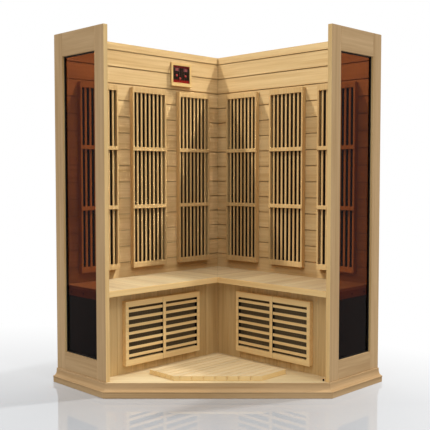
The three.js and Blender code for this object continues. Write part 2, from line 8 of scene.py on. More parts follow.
import bmesh
import bpy
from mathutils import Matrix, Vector


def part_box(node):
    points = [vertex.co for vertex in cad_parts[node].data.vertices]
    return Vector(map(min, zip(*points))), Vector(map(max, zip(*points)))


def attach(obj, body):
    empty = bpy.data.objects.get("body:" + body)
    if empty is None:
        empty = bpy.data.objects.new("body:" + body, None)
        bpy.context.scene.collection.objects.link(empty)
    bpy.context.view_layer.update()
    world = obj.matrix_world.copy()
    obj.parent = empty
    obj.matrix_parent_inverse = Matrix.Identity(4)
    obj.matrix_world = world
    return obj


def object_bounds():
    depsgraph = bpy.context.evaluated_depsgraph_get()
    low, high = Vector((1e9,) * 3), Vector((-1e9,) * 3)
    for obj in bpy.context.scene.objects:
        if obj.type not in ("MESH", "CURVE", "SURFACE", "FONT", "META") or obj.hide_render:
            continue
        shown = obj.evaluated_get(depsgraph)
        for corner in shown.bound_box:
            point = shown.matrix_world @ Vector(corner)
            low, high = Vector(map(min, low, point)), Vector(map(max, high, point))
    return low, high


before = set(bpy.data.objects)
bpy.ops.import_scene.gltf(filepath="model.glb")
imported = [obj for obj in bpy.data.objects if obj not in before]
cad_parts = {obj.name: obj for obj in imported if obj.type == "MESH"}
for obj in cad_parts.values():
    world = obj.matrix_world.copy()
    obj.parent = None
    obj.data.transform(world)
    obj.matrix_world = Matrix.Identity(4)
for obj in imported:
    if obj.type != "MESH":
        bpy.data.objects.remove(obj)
cad_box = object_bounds()

SIDES = ("left", "right")
HEATERS = (1, 2, 3)

# Camera
CAMERA_PLACE = (0.0, -4.4459, 1.1370)
CAMERA_PITCH = -0.05165
LENS = 63.70
SENSOR = 36.0
CAMERA_SHIFT = -0.00634

# The turn that brings each half's u onto the texture's x axis, and where the rear corner lies on it
TURN = {"left": math.radians(135), "right": math.radians(45), "front": 0.0}
AXES = {"u": 0, "v": 1, "z": 2}
HALF_ROOT = math.sqrt(0.5)
REAR_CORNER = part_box("floor_platform")[1].y
TEXTURE_START = REAR_CORNER * HALF_ROOT

# Boards: the axis that counts them, their pitch and where the first one starts
BOARD_PITCH = 0.0944
TOP_BOARD = 0.044
KICK_FRONT = 0.370
DUCK_START = 0.468
DUCK_WIDTH = 0.52
DUCK_COUNT = 12
WALL_BOARDS = ("z", BOARD_PITCH, cad_box[1].z - TOP_BOARD)
KICK_BOARDS = ("u", BOARD_PITCH, KICK_FRONT - TEXTURE_START)
DUCK_BOARDS = ("v", DUCK_WIDTH / DUCK_COUNT, DUCK_START - TEXTURE_START)

# Bays of the bench heaters
BENCH_HEATER_CENTRE = 0.820
BENCH_HEATER_CLEAR = 0.2505

# Edge roundings
ROUND_EDGE = 0.0025
SOFT_EDGE = 0.0012
FINE_EDGE = 0.0006
STEEL_EDGE = 0.0003
HAIR_EDGE = 0.0002
EDGE_SEGMENTS = 2
EDGE_TURN = math.radians(28)
WELD_DISTANCE = 0.00002

# Light: the travel is that of the left lamp, which the right one mirrors
HORIZON = 0.06
ZENITH = 1.48
KEY_TRAVEL = Vector((68, -25.5, -148))
KEY_ANGLE = math.radians(3)
KEY_STRENGTH = {"left": 0.05, "right": 1.1}
WALL_TRAVEL = Vector((65, -34, -148))
WALL_STRENGTH = {"left": 3.05, "right": 3.75}
FRONT_RISE = {"left": math.radians(38), "right": math.radians(46)}
FRONT_ANGLE = math.radians(6)
FRONT_STRENGTH = {"left": 0.2, "right": 0.35}

# The span of a noise that makes a difference
NOISE_SPAN = (0.3, 0.7)


def srgb(red, green, blue):
    """A linear colour from the usual 0 to 255 numbers."""
    def channel(value):
        part = value / 255
        return part / 12.92 if part <= 0.04045 else ((part + 0.055) / 1.055) ** 2.4
    return (channel(red), channel(green), channel(blue), 1.0)


class Surface:
    """A node tree of a material or of the world, built one node at a time."""

    def __init__(self, name, owner=None):
        self.material = owner or bpy.data.materials.new(name)
        self.material.use_nodes = True
        self.tree = self.material.node_tree
        self.shader = self.tree.nodes.get("Principled BSDF")

    def node(self, kind, inputs=None, **settings):
        made = self.tree.nodes.new(kind)
        for key, value in settings.items():
            setattr(made, key, value)
        for key, value in (inputs or {}).items():
            self.put(made.inputs[key], value)
        return made

    def put(self, socket, value):
        if isinstance(value, bpy.types.NodeSocket):
            self.tree.links.new(value, socket)
        else:
            socket.default_value = value

    def set(self, **values):
        for key, value in values.items():
            self.put(self.shader.inputs[key.replace("_", " ")], value)

    def math(self, operation, a, b=0.0, clamp=False):
        made = self.node("ShaderNodeMath", {0: a, 1: b}, operation=operation, use_clamp=clamp)
        return made.outputs[0]

    def average(self, a, b):
        return self.math("ADD", self.math("MULTIPLY", a, 0.5), self.math("MULTIPLY", b, 0.5))

    def vector(self, operation, a, b=None):
        inputs = {0: a} if b is None else {0: a, 1: b}
        return self.node("ShaderNodeVectorMath", inputs, operation=operation).outputs[0]

    def part(self, vector, axis):
        return self.node("ShaderNodeSeparateXYZ", {0: vector}).outputs[axis]

    def spread(self, value, low, high, to_low=0.0, to_high=1.0):
        inputs = {"Value": value, "From Min": low, "From Max": high, "To Min": to_low, "To Max": to_high}
        return self.node("ShaderNodeMapRange", inputs).outputs[0]

    def mix(self, factor, a, b, blend="MIX"):
        made = self.node("ShaderNodeMix", data_type="RGBA", blend_type=blend)
        self.put(made.inputs[0], factor)
        self.put(made.inputs[6], a)
        self.put(made.inputs[7], b)
        return made.outputs[2]

    def shaded(self, colour, brightness):
        grey = self.node("ShaderNodeCombineColor", {channel: brightness for channel in range(3)})
        return self.mix(1.0, colour, grey.outputs[0], "MULTIPLY")

    def place(self, turn=0.0):
        inputs = {"Vector": self.node("ShaderNodeTexCoord").outputs["Object"], "Rotation": (0, 0, turn)}
        return self.node("ShaderNodeMapping", inputs).outputs[0]

    def noise(self, place, scale, detail=2.0, roughness=0.5, distortion=0.0):
        """A noise whose scale is given for each axis, in repeats to a metre."""
        inputs = {"Vector": self.vector("MULTIPLY", place, scale), "Scale": 1.0, "Detail": detail,
                  "Roughness": roughness, "Distortion": distortion}
        return self.node("ShaderNodeTexNoise", inputs).outputs[0]

    def normal(self):
        return self.node("ShaderNodeNewGeometry").outputs["Normal"]

    def levelness(self):
        """One where the surface lies flat, and nought where it stands upright."""
        return self.math("ABSOLUTE", self.part(self.normal(), 2))

    def lean(self, amount):
        """The normal, turned upwards where the surface stands upright."""
        lift = self.math("MULTIPLY", self.math("SUBTRACT", 1.0, self.levelness()), amount)
        rise = self.node("ShaderNodeCombineXYZ", {2: lift}).outputs[0]
        return self.vector("NORMALIZE", self.vector("ADD", self.normal(), rise))

    def bump(self, height, strength, distance, normal=None):
        inputs = {"Height": height, "Strength": strength, "Distance": distance}
        made = self.node("ShaderNodeBump", inputs)
        if normal is not None:
            self.put(made.inputs["Normal"], normal)
        self.put(self.shader.inputs["Normal"], made.outputs[0])


# Wood: the lighter and the darker tone of each piece

PANEL = (srgb(208, 174, 129), srgb(176, 140, 94))
LINING = (srgb(239, 206, 149), srgb(203, 161, 102))
TRIM = (srgb(218, 183, 126), srgb(196, 155, 98))
BEZEL = (srgb(234, 198, 132), srgb(212, 168, 100))
BENCH_TRIM = (srgb(246, 213, 152), srgb(224, 182, 118))
KICK = (srgb(224, 194, 140), srgb(187, 151, 95))
SEAT = (srgb(242, 224, 180), srgb(211, 181, 130))
DUCK = (srgb(243, 221, 178), srgb(223, 193, 141))
# Painted highlight on the duckboard's upright faces
DUCK_ENDS_HIGHLIGHT = srgb(248, 214, 148)
PLATFORM = (srgb(237, 219, 176), srgb(211, 184, 135))
# Painted shade on the platform's upright sides
PLATFORM_SIDES_SHADE = srgb(188, 153, 108)
# Painted shade for the sides inside the bench heaters' bays
BAY_PAINTED_SHADE = srgb(26, 21, 16)

# Layers of the grain: repeats to a metre across and along it; detail, roughness and distortion; the
# span of the noise that counts; and the share of the darker tone that this stands for
FIGURE = ((11, 0.8), (3, 0.55, 0.5), (0.32, 0.68), (0.0, 0.55))
RINGS = ((75, 1.3), (2, 0.5, 0.25), (0.42, 0.72), (0.0, 0.4))
FIBRE = ((420, 9), (2, 0.6, 0.0), (0.35, 0.7), (-0.06, 0.14))
WOOD_ROUGHNESS = (0.55, 0.7)
WOOD_SPECULAR = 0.25
LEANED_SPECULAR = 0.1

# Boards: how far the figure jumps and the brightness changes from one to the next, where the line
# between them starts and ends in parts of a board, and how bright it is
BOARD_JUMP = (7.0, 7.0, 7.0)
BOARD_BRIGHTNESS = (0.93, 1.04)
JOINT_SPAN = (0.475, 0.49)
SEAT_JOINT = 0.8
DUCK_JOINT = 0.55

# Painted shade in the grooves of the wall linings: the depths from the wall's outer face over which it
# fades out, and its brightness at the bottom
GROOVE_SHADE_SPAN = (0.040, 0.044)
GROOVE_SHADE_BRIGHTNESS = 0.78

# How far a face has to turn before it takes the painted light and shade of an end, a cheek, a face
# turned into the cabin or a bay's side
UPRIGHT_PAINT_SPAN = (0.3, 0.8)
UPRIGHT_PAINT_SHARE = 0.75
CHEEK_HIGHLIGHT_SPAN = (0.3, 0.9)
# Painted highlights on the heater grilles' faces turned towards the front
HEATER_CHEEK_HIGHLIGHT = 1.35
BENCH_HEATER_CHEEK_HIGHLIGHT = 1.08
INNER_LIGHT_TURN = 0.5
BAY_SHADE_TURN = 0.75

# How far the normals of walls and bench fronts lean, and the shares of it on faces turned to the
# rear corner and to the front
WALL_LEAN = 1.0
BENCH_LEAN = 0.3
LEAN_SHARES = (0.5, 1.5)

woods = {}


def wood(tones, hand, grain, boards=None, joint=1.0, lean=0.0, groove_shade=False, bays=False,
         ends=None, inner_painted_light=None, cheek_highlight=1.0):
    """Straight-grained softwood. joint is the brightness of the lines between flush boards, ends a
    colour painted on upright faces (a painted highlight on the duckboard's ends, painted shade on the
    platform's sides), inner_painted_light the lighter tones painted on faces turned into the cabin as
    painted light, and cheek_highlight the brightness of a painted highlight on the faces turned towards
    the front."""
    key = (tones, hand, grain, boards, joint, lean, groove_shade, bays, ends, inner_painted_light, cheek_highlight)
    if key in woods:
        return woods[key]
    made = Surface("wood")
    place = made.place(TURN[hand])
    plain_place = place
    along = AXES[grain]
    inwards = -1 if hand == "right" else 1

    def facing(axis):
        """How far the surface faces along u or v."""
        inputs = {"Vector": made.normal(), "Angle": TURN[hand]}
        turned = made.node("ShaderNodeVectorRotate", inputs, rotation_type="Z_AXIS")
        return made.part(turned.outputs[0], AXES[axis])

    def layer(repeats, settings, span, share):
        """One layer of the grain, and its share in the tone."""
        across, lengthwise = repeats
        scale = tuple(lengthwise if axis == along else across for axis in range(3))
        noise = made.noise(place, scale, *settings)
        return noise, made.spread(noise, *span, *share)

    if boards is not None:
        counted, pitch, start = boards
        reach = made.math("SUBTRACT", made.part(place, AXES[counted]), start)
        count = made.math("DIVIDE", reach, pitch)
        number = made.math("FLOOR", count)
        chance = made.node("ShaderNodeTexWhiteNoise", {"W": number}, noise_dimensions="1D")
        place = made.vector("ADD", place, made.vector("MULTIPLY", chance.outputs["Color"], BOARD_JUMP))
    figure_share = layer(*FIGURE)[1]
    rings_share = layer(*RINGS)[1]
    fibre, fibre_share = layer(*FIBRE)
    tone = made.math("ADD", made.math("ADD", figure_share, rings_share), fibre_share, clamp=True)
    colour = made.mix(tone, *tones)
    # Painted light: faces turned into the cabin take lighter tones, as if lit more than the outer faces
    if inner_painted_light is not None:
        turned_in = made.math("SUBTRACT", made.math("MULTIPLY", facing("v"), inwards), facing("u"))
        inner_lit = made.math("GREATER_THAN", turned_in, INNER_LIGHT_TURN)
        colour = made.mix(inner_lit, colour, made.mix(tone, *inner_painted_light))
    if boards is not None:
        brightness = made.spread(chance.outputs["Value"], 0.0, 1.0, *BOARD_BRIGHTNESS)
        edge = made.math("ABSOLUTE", made.math("SUBTRACT", made.math("FRACT", count), 0.5))
        line = made.spread(edge, *JOINT_SPAN, 1.0, joint)
        colour = made.shaded(colour, made.math("MULTIPLY", brightness, line))
    # Painted shade: faces sunk into the lining's grooves are darkened
    if groove_shade:
        across = made.math("MULTIPLY", made.part(plain_place, AXES["v"]), inwards)
        depth = made.math("ADD", across, TEXTURE_START)
        colour = made.shaded(colour, made.spread(depth, *GROOVE_SHADE_SPAN, GROOVE_SHADE_BRIGHTNESS, 1.0))
    # Painted light and shade on upright faces: a painted highlight on the duckboard's ends, painted
    # shade on the platform's sides
    if ends is not None:
        upright_painted_colour = made.mix(UPRIGHT_PAINT_SHARE, colour, ends)
        colour = made.mix(made.spread(made.levelness(), *UPRIGHT_PAINT_SPAN), upright_painted_colour, colour)
    # Painted highlight: faces turned towards the front are brightened, as if lit more
    if cheek_highlight != 1.0:
        colour = made.shaded(colour, made.spread(facing("u"), *CHEEK_HIGHLIGHT_SPAN, 1.0, cheek_highlight))
    # Painted shade: the sides inside the bench heaters' bays are painted near-black, as if in deep
    # shadow
    if bays:
        sideways = made.math("GREATER_THAN", made.math("ABSOLUTE", facing("u")), BAY_SHADE_TURN)
        centre = BENCH_HEATER_CENTRE - TEXTURE_START
        out = made.math("ABSOLUTE", made.math("SUBTRACT", made.part(plain_place, AXES["u"]), centre))
        inside = made.math("LESS_THAN", out, BENCH_HEATER_CLEAR)
        colour = made.mix(made.math("MULTIPLY", sideways, inside), colour, BAY_PAINTED_SHADE)
    made.set(Base_Color=colour, Roughness=made.spread(fibre, *NOISE_SPAN, *WOOD_ROUGHNESS))
    made.set(Specular_IOR_Level=LEANED_SPECULAR if lean else WOOD_SPECULAR)
    leaned = None
    if lean:
        least, most = (share * lean for share in LEAN_SHARES)
        leaned = made.lean(made.spread(facing("u"), -1.0, 1.0, least, most))
    made.bump(fibre, strength=0.12, distance=0.0006, normal=leaned)
    woods[key] = made.material
    return made.material


# Other materials: their tones, the repeats to a metre of their marks, and their roughness

GLASS_TONES = (srgb(146, 93, 63), srgb(136, 85, 57))
GLASS_HAZE = (3, 3, 1.5)
GLASS_ROUGHNESS = (0.0, 0.03)
MATT_GRAIN = (600, 600, 600)
MATT_CLOUD = (5, 5, 3)
MATT_ROUGHNESS = (0.6, 0.8)
WALL_FILM = (srgb(20, 16, 11), srgb(36, 28, 20))
BENCH_FILM = (srgb(72, 62, 44), srgb(122, 106, 78))
FILM_THREADS = 26
FILM_CLOUD = (9, 9, 4)
BRUSH_MARKS = (60, 60, 900)
STEEL_ROUGHNESS = (0.24, 0.4)
PLASTIC_CLOUD = (160, 160, 160)
ROUGHNESS_CHANGE = 0.08

# The control unit's face: its colours from the bottom to the top, its faint printed columns, and the
# smear that breaks them up
FACE_BANDS = [(0.0, srgb(156, 14, 16)), (0.13, srgb(140, 14, 16)), (0.2, srgb(24, 14, 14)),
              (0.84, srgb(22, 13, 13)), (0.9, srgb(104, 14, 20)), (1.0, srgb(116, 16, 22))]
FACE_PRINT = srgb(104, 84, 80)
FACE_COLUMNS = 16.0
COLUMN_SPAN = (0.55, 1.0)
COLUMN_SHARE = 0.4
FACE_SMEAR = (90, 90, 260)
SMEAR_SPAN = (0.35, 0.6)
FACE_ROUGHNESS = (0.16, 0.3)


def bronze_glass():
    made = Surface("bronze_tint")
    haze = made.noise(made.place(), GLASS_HAZE, detail=3)
    made.set(Base_Color=made.mix(made.spread(haze, *NOISE_SPAN), *GLASS_TONES))
    made.set(Roughness=made.spread(haze, *NOISE_SPAN, *GLASS_ROUGHNESS))
    made.set(IOR=1.11, Transmission_Weight=1.0)
    return made.material


def matt_black(name, low, high):
    made = Surface(name)
    place = made.place()
    grain = made.noise(place, MATT_GRAIN, detail=3)
    cloud = made.noise(place, MATT_CLOUD, detail=2)
    made.set(Base_Color=made.mix(made.average(grain, cloud), low, high))
    made.set(Roughness=made.spread(grain, *NOISE_SPAN, *MATT_ROUGHNESS), Specular_IOR_Level=0.25)
    made.bump(grain, strength=0.2, distance=0.0004)
    return made.material


def emitter(low, high, hand):
    """A carbon film: fine crossed threads on a dark sheet."""
    made = Surface("carbon_film")
    place = made.place(TURN[hand])

    def threads(direction):
        inputs = {"Vector": place, "Scale": FILM_THREADS}
        return made.node("ShaderNodeTexWave", inputs, bands_direction=direction).outputs["Fac"]

    weave = made.math("MULTIPLY", threads("X"), threads("Z"))
    cloud = made.noise(place, FILM_CLOUD, detail=3)
    made.set(Base_Color=made.mix(made.average(weave, cloud), low, high))
    made.set(Roughness=made.spread(weave, 0.0, 1.0, *MATT_ROUGHNESS), Specular_IOR_Level=0.15)
    made.bump(weave, strength=0.3, distance=0.0006)
    return made.material


def steel(low, high):
    made = Surface("brushed_steel")
    brushed = made.noise(made.place(), BRUSH_MARKS, detail=3)
    made.set(Base_Color=made.mix(brushed, low, high), Metallic=1.0)
    made.set(Roughness=made.spread(brushed, *NOISE_SPAN, *STEEL_ROUGHNESS))
    made.bump(brushed, strength=0.06, distance=0.0003)
    return made.material


def gloss_plastic(name, low, high, roughness, glow=0.0):
    made = Surface(name)
    cloud = made.noise(made.place(), PLASTIC_CLOUD, detail=3)
    colour = made.mix(cloud, low, high)
    made.set(Base_Color=colour, Emission_Color=colour, Emission_Strength=glow)
    made.set(Roughness=made.spread(cloud, *NOISE_SPAN, roughness, roughness + ROUGHNESS_CHANGE))
    made.set(Specular_IOR_Level=0.25)
    return made.material


def control_face():
    """Gloss black with a dark red band along the top, a brighter one along the bottom, and faint
    printed columns between them."""
    low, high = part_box("control_faceplate")
    made = Surface("printed_face")
    place = made.place(TURN["left"])
    level = made.spread(made.part(place, 2), low.z, high.z)
    ramp = made.node("ShaderNodeValToRGB", {0: level})
    while len(ramp.color_ramp.elements) < len(FACE_BANDS):
        ramp.color_ramp.elements.new(0.5)
    for element, (position, colour) in zip(ramp.color_ramp.elements, FACE_BANDS):
        element.position = position
        element.color = colour
    inputs = {"Vector": place, "Scale": FACE_COLUMNS}
    columns = made.node("ShaderNodeTexWave", inputs, bands_direction="X").outputs["Fac"]
    smear = made.noise(place, FACE_SMEAR, detail=3)
    column_share = made.spread(columns, *COLUMN_SPAN, 0.0, COLUMN_SHARE)
    print_share = made.math("MULTIPLY", column_share, made.spread(smear, *SMEAR_SPAN))
    made.set(Base_Color=made.mix(print_share, ramp.outputs[0], FACE_PRINT))
    made.set(Roughness=made.spread(smear, *NOISE_SPAN, *FACE_ROUGHNESS), Specular_IOR_Level=0.2)
    return made.material


# Dressing the solids

def dress(node, material, edge=None):
    """Gives a solid its finish, and rounds its sharp edges."""
    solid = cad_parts[node]
    solid.data.materials.clear()
    solid.data.materials.append(material)
    if edge is None:
        return
    weld = solid.modifiers.new("weld", "WELD")
    weld.merge_threshold = WELD_DISTANCE
    bevel = solid.modifiers.new("edges", "BEVEL")
    bevel.width = edge
    bevel.segments = EDGE_SEGMENTS
    bevel.limit_method = "ANGLE"
    bevel.angle_limit = EDGE_TURN
    solid.modifiers.new("shading", "WEIGHTED_NORMAL")


def dress_side(side, finish):
    dress(f"{side}_wall_core", wood(PANEL, side, "u", WALL_BOARDS), FINE_EDGE)
    # The lining's grooves get painted shade
    lining = wood(LINING, side, "u", WALL_BOARDS, lean=WALL_LEAN, groove_shade=True)
    dress(f"{side}_wall_lining", lining, HAIR_EDGE)
    # Painted light: the panel pieces' faces turned into the cabin take the lighter bench trim tones
    for part in ("rear_stile", "front_stile"):
        dress(f"{side}_{part}", wood(PANEL, side, "z", inner_painted_light=BENCH_TRIM), SOFT_EDGE)
    for part in ("top_rail", "bottom_rail"):
        dress(f"{side}_{part}", wood(PANEL, side, "v", inner_painted_light=BENCH_TRIM), SOFT_EDGE)
    dress(f"{side}_window_gasket", finish["rubber"], FINE_EDGE)
    dress(f"{side}_window_glass", finish["glass"])
    dress(f"{side}_blanking_panel", finish["board"], FINE_EDGE)
    # The wall heater grilles get a painted highlight on faces turned towards the front
    guard = wood(TRIM, side, "z", lean=WALL_LEAN, cheek_highlight=HEATER_CHEEK_HIGHLIGHT)
    film = emitter(*WALL_FILM, side)
    for number in HEATERS:
        dress(f"{side}_heater_{number}_grille", guard, FINE_EDGE)
        dress(f"{side}_heater_{number}_emitter", film)
    dress(f"{side}_bench_seat", wood(SEAT, side, "v", KICK_BOARDS, joint=SEAT_JOINT), FINE_EDGE)
    dress(f"{side}_bench_fascia", wood(BENCH_TRIM, side, "u", lean=BENCH_LEAN), SOFT_EDGE)
    dress(f"{side}_bench_kick_panel", wood(KICK, side, "z", KICK_BOARDS), HAIR_EDGE)
    dress(f"{side}_bench_frame", wood(PANEL, side, "u"), SOFT_EDGE)
    # The bench heater grilles get painted shade on the sides inside their bays and a painted highlight
    # on faces turned towards the front
    bench_guard = wood(BENCH_TRIM, side, "u", lean=BENCH_LEAN, bays=True, cheek_highlight=BENCH_HEATER_CHEEK_HIGHLIGHT)
    dress(f"{side}_bench_heater_grille", bench_guard, SOFT_EDGE)
    dress(f"{side}_bench_heater_emitter", emitter(*BENCH_FILM, side))
    dress(f"skirting_{side}", wood(PANEL, side, "v"), FINE_EDGE)
    for part in ("base", "lever", "bail", "keeper"):
        dress(f"{side}_latch_{part}", finish["steel"], STEEL_EDGE)


def dress_cabin(finish):
    for side in SIDES:
        dress_side(side, finish)
    # Painted shade on the platform's upright sides
    dress("floor_platform", wood(PLATFORM, "front", "u", ends=PLATFORM_SIDES_SHADE), SOFT_EDGE)
    dress("skirting_front", wood(PANEL, "front", "u"), FINE_EDGE)
    # Painted highlight on the duckboard's upright faces
    slats = wood(DUCK, "left", "u", DUCK_BOARDS, joint=DUCK_JOINT, ends=DUCK_ENDS_HIGHLIGHT)
    dress("duckboard", slats, ROUND_EDGE)
    dress("control_bezel", wood(BEZEL, "left", "u", lean=WALL_LEAN), SOFT_EDGE)
    dress("control_faceplate", control_face(), FINE_EDGE)
    for button in ("heat", "timer", "power"):
        dress(f"{button}_button", finish["button"], FINE_EDGE)


# Small pieces that the solids leave out

class Shape:
    """A mesh put together from stacks of rings, each closed at both ends."""

    def __init__(self):
        self.points = []
        self.faces = []

    def stack(self, origin, across, up, out, rings):
        """rings holds a list of (across, up) points and a height for each level."""
        first = len(self.points)
        count = len(rings[0][0])
        for outline, height in rings:
            self.points += [origin + across * a + up * b + out * height for a, b in outline]
        for level in range(len(rings) - 1):
            low = first + level * count
            for i in range(count):
                j = (i + 1) % count
                self.faces.append((low + i, low + j, low + count + j, low + count + i))
        last = first + (len(rings) - 1) * count
        self.faces.append(tuple(reversed(range(first, first + count))))
        self.faces.append(tuple(range(last, last + count)))

    def slab(self, origin, across, up, out, outline, depth):
        self.stack(origin, across, up, out, [(outline, 0.0), (outline, depth)])

    def finish(self, name, material, slot):
        mesh = bpy.data.meshes.new(name)
        mesh.from_pydata(self.points, [], self.faces)
        shell = bmesh.new()
        shell.from_mesh(mesh)
        bmesh.ops.recalc_face_normals(shell, faces=shell.faces)
        shell.to_mesh(mesh)
        shell.free()
        mesh.materials.append(material)
        made = bpy.data.objects.new(name, mesh)
        bpy.context.scene.collection.objects.link(made)
        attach(made, "cabin")


def directions(side):
    """The directions of u, v and z in one half of the cabin."""
    hand = 1 if side == "right" else -1
    along = Vector((hand * HALF_ROOT, -HALF_ROOT, 0))
    inwards = Vector((-hand * HALF_ROOT, -HALF_ROOT, 0))
    return along, inwards, Vector((0, 0, 1))


def spot(side, u, v, z):
    along, inwards, up = directions(side)
    return Vector((0, REAR_CORNER, 0)) + along * u + inwards * v + up * z


CIRCLE_SIDES = 16


def circle(radius):
    angles = [2 * math.pi * i / CIRCLE_SIDES for i in range(CIRCLE_SIDES)]
    return [(radius * math.cos(angle), radius * math.sin(angle)) for angle in angles]


def rectangle(width, height, inset=0.0):
    a = width / 2 - inset
    b = height / 2 - inset
    return [(-a, -b), (a, -b), (a, b), (-a, b)]


# Heights and radii of a screw head with a round socket, as parts of its own height and radius
SCREW_PROFILE = [(0.0, 1.0), (0.4, 1.0), (0.8, 0.84), (1.0, 0.56), (1.0, 0.44), (0.35, 0.38)]


def screw(shape, origin, across, up, out, radius, height):
    rings = [(circle(radius * part), height * level) for level, part in SCREW_PROFILE]
    shape.stack(origin, across, up, out, rings)


# Screws: the radius and height of a head, and where the heads sit
LATCH_SCREW = (0.0025, 0.0014)
LATCH_HEIGHT = 1.050
LATCH_FACE = -0.0019
BASE_SCREWS = (1.177, 1.189)
BASE_SCREW_RISE = 0.0122
KEEPER_SCREW = 1.2495
KEEPER_SCREW_RISE = 0.007
BEARER_SCREW = (0.0048, 0.0022)
BEARER_END = 1.2307
BEARER_MIDDLE = 0.507
BEARER_SCREWS = (0.105, 0.218, 0.331)


def screws(finish):
    """Latch screws on the outside, and dark screws in the end of the bench frame, behind the glass."""
    for side in SIDES:
        along, inwards, up = directions(side)
        small = Shape()
        places = [(u, BASE_SCREW_RISE) for u in BASE_SCREWS] + [(KEEPER_SCREW, KEEPER_SCREW_RISE)]
        for u, rise in places:
            for hand in (-1, 1):
                place = spot(side, u, LATCH_FACE, LATCH_HEIGHT + hand * rise)
                screw(small, place, along, up, -inwards, *LATCH_SCREW)
        small.finish(f"{side}_latch_screws", finish["steel"], "latch_steel")
        dark = Shape()
        for v in BEARER_SCREWS:
            screw(dark, spot(side, BEARER_END, v, BEARER_MIDDLE), inwards, up, along, *BEARER_SCREW)
        dark.finish(f"{side}_bearer_screws", finish["dark_steel"], "latch_steel")


# The peg's u and v, and its radii from the floor up
PEG_PLACE = (1.2125, 0.4375)
PEG_PROFILE = [(0.0, 0.0045), (0.008, 0.0045), (0.011, 0.0038), (0.012, 0.0028)]


def front_peg(finish):
    """A small dark peg on the floor that locates the front wall's edge."""
    along, inwards, up = directions("right")
    base = spot("right", *PEG_PLACE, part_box("floor_platform")[1].z)
    peg = Shape()
    peg.stack(base, along, inwards, up, [(circle(radius), height) for height, radius in PEG_PROFILE])
    peg.finish("front_peg", finish["rubber"], "gasket_rubber")


DIVIDER_WIDTH = 0.018
DIVIDER_DEPTH = (0.3816, 0.3925)
DIVIDER_HEIGHT = (0.1515, 0.4355)


def bay_dividers(finish):
    """Dark partitions between the two bays of each bench heater, behind the middle stile."""
    low, high = DIVIDER_HEIGHT
    back, front = DIVIDER_DEPTH
    outline = rectangle(DIVIDER_WIDTH, high - low)
    for side in SIDES:
        along, inwards, up = directions(side)
        divider = Shape()
        middle = spot(side, BENCH_HEATER_CENTRE, back, (low + high) / 2)
        divider.slab(middle, along, up, inwards, outline, front - back)
        divider.finish(f"{side}_bay_divider", finish["board"], "emitter")


SEAL_THICKNESS = 0.00042
SEAL_DEPTH = (0.002, 0.058)
SEAL_HEIGHT = (0.090, 1.898)


def corner_seal(finish):
    """A thin dark sealing strip in the mitred joint of the two back walls."""
    low, high = SEAL_HEIGHT
    near, far = SEAL_DEPTH
    across, up, forwards = Vector((1, 0, 0)), Vector((0, 0, 1)), Vector((0, -1, 0))
    start = Vector((0, REAR_CORNER - near, (low + high) / 2))
    strip = Shape()
    strip.slab(start, across, up, forwards, rectangle(SEAL_THICKNESS, high - low), far - near)
    strip.finish("corner_seal", finish["rubber"], "gasket_rubber")


# Displays: u and z of the control unit's middle and of a display from there, and their readings
DISPLAY_CENTRE = (0.372, 1.764)
DISPLAY_OFFSET = (0.035, 0.028)
DISPLAY_FLOOR = 0.0513
DISPLAY_SIZE = (0.0374, 0.0204)
LENS_LEVELS = [(0.0, 0.0), (0.0007, 0.0), (0.0010, 0.0004)]
DIGIT_SIZE = (0.0070, 0.0120)
DIGIT_STEP = 0.0105
DIGIT_STROKE = 0.0014
DIGIT_GAP = 0.0003
DIGIT_RISE = 0.0002
READINGS = {1: "60", -1: "30"}
SEGMENTS = {"0": "abcdef", "3": "abcdg", "6": "acdefg"}


def segment_bar(letter):
    """The outline of one stroke of a seven-stroke digit, about the digit's middle."""
    width, height = DIGIT_SIZE
    reach = {"a": height / 2, "g": 0.0, "d": -height / 2}
    tip = DIGIT_STROKE / 2
    half = (width if letter in reach else height / 2) / 2 - DIGIT_GAP
    flat = half - tip
    bar = [(-half, 0), (-flat, -tip), (flat, -tip), (half, 0), (flat, tip), (-flat, tip)]
    if letter in reach:
        return [(a, b + reach[letter]) for a, b in bar]
    right = width / 2 if letter in "bc" else -width / 2
    rise = height / 4 if letter in "bf" else -height / 4
    return [(right - b, rise + a) for a, b in bar]


def displays(finish):
    """Smoked lenses in the faceplate's two recesses, each with two digits."""
    along, inwards, up = directions("left")
    lenses = Shape()
    digits = Shape()
    levels = [(rectangle(*DISPLAY_SIZE, inset), height) for height, inset in LENS_LEVELS]
    front = DISPLAY_FLOOR + LENS_LEVELS[-1][0]
    z = DISPLAY_CENTRE[1] + DISPLAY_OFFSET[1]
    for hand, reading in READINGS.items():
        u = DISPLAY_CENTRE[0] + hand * DISPLAY_OFFSET[0]
        lenses.stack(spot("left", u, DISPLAY_FLOOR, z), -along, up, inwards, levels)
        for place, digit in zip((DIGIT_STEP / 2, -DIGIT_STEP / 2), reading):
            middle = spot("left", u + place, front, z)
            for letter in SEGMENTS[digit]:
                digits.slab(middle, -along, up, inwards, segment_bar(letter), DIGIT_RISE)
    lenses.finish("display_lenses", finish["lens"], "control_face")
    digits.finish("display_digits", finish["digit"], "button")


# Studio: floor, light and camera. The floor fades to white with distance and to the back, and also to
# the right, where the fade is painted light that makes the right of the floor brighter.

FLOOR_HALF = 14.0
FLOOR_DROP = 0.0005
FLOOR_TONES = (srgb(183, 185, 188), srgb(188, 190, 192))
FLOOR_CLOUD = (2, 2, 2)
FADE_DISTANCE = (2.0, 5.0)
FADE_BACK = (-0.7, 1.3)
# Painted light on the right of the floor: where it starts and ends, and its share
RIGHT_PAINTED_LIGHT_SPAN = (0.3, 1.5)
RIGHT_PAINTED_LIGHT_SHARE = 0.5
WHITE = (1, 1, 1, 1)


